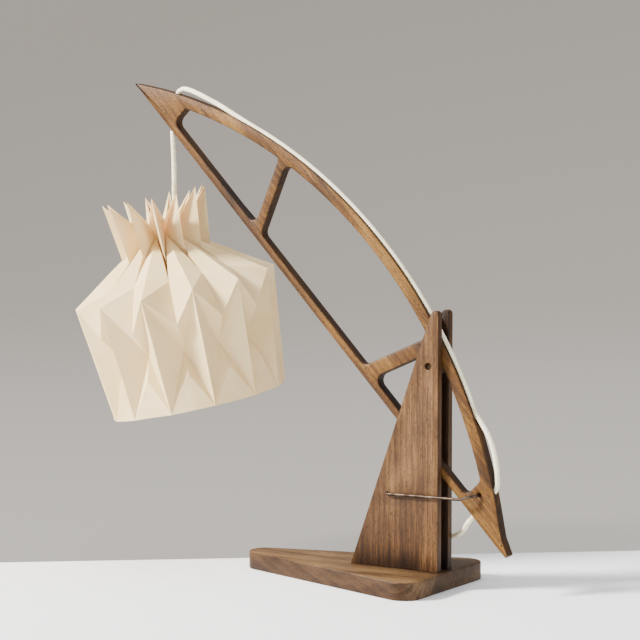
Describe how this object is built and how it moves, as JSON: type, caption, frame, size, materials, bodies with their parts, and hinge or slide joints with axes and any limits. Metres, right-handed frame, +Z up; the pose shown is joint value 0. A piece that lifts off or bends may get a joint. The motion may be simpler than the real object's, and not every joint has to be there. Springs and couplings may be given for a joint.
{
  "type": "table lamp",
  "caption": "Table lamp with a bow shaped teak arm that tilts between two uprights on a wedge base, and a pleated paper shade hung on its cord.",
  "frame": {"origin": "on the underside of the base, midway between its sides, below the back edge of the uprights", "axes": "+X from the head of the arm to its tail, +Y away from the upright that carries the stay, +Z up"},
  "size_m": [0.5917, 0.3584, 0.583],
  "materials": {
    "teak": "oiled teak, worn satin",
    "teak_dark": "oiled teak, upright grain",
    "teak_light": "oiled teak, grain along the arm",
    "steel": "plain",
    "old_steel": "darkened by age",
    "cord": "woven cotton cover, off-white",
    "plastic": "moulded, off-white",
    "ceramic": "glazed",
    "brass": "stamped",
    "plated": "nickel plated",
    "paper": "folded, matt, cream",
    "glass": "frosted bulb glass",
    "stem_glass": "clear stem"
  },
  "bodies": {
    "base": {"base_plank": "teak", "upright_near": "teak_dark", "upright_far": "teak_dark", "upright_screws": "steel", "pivot_pin": "old_steel", "pivot_washers": "steel", "tail_lead": "cord", "lead_coil": "cord", "plug_lead": "cord", "plug_relief": "plastic", "plug_body": "plastic", "plug_pins": "plated"},
    "arm": {"arm": "teak_light", "arm_cord": "cord"},
    "stay": {"stay_wire": "old_steel"},
    "hanging_shade": {"drop_cord": "cord", "cord_grip": "plastic", "holder_cap": "plastic", "holder_body": "plastic", "ceramic_insert": "ceramic", "thread_shell": "brass", "centre_contact": "brass", "terminal_screws": "brass", "shade_ring": "plastic", "shade_carrier": "steel", "paper_shade": "paper", "bulb_glass": "glass", "bulb_cap": "brass", "bulb_contact": "steel", "bulb_stem": "stem_glass"},
    "push_bar": {"push_bar": "plastic"}
  },
  "joints": [
    {"name": "arm_tilt", "type": "hinge", "parent": "base", "child": "arm", "pos_m": [-0.0133, 0, 0.2574], "axis": [0, 1, 0], "range_deg": [-20, 10], "deforming": ["tail_lead"]},
    {"name": "stay_swing", "type": "hinge", "parent": "arm", "child": "stay", "pos_m": [0.04823, 0, 0.11357], "axis": [0, 1, 0], "range_deg": [-6, 11]},
    {"name": "shade_swing", "type": "hinge", "parent": "arm", "child": "hanging_shade", "pos_m": [-0.38399, 0, 0.52417], "axis": [0, 1, 0], "range_deg": [-8, 25]},
    {"name": "bar_push", "type": "slide", "parent": "hanging_shade", "child": "push_bar", "axis": [-0.8213, -0.5293, -0.213], "range_m": [0, 0.006]}
  ],
  "couplings": [
    {"joint": "stay_swing", "follows": "arm_tilt", "ratio": -0.5}
  ]
}
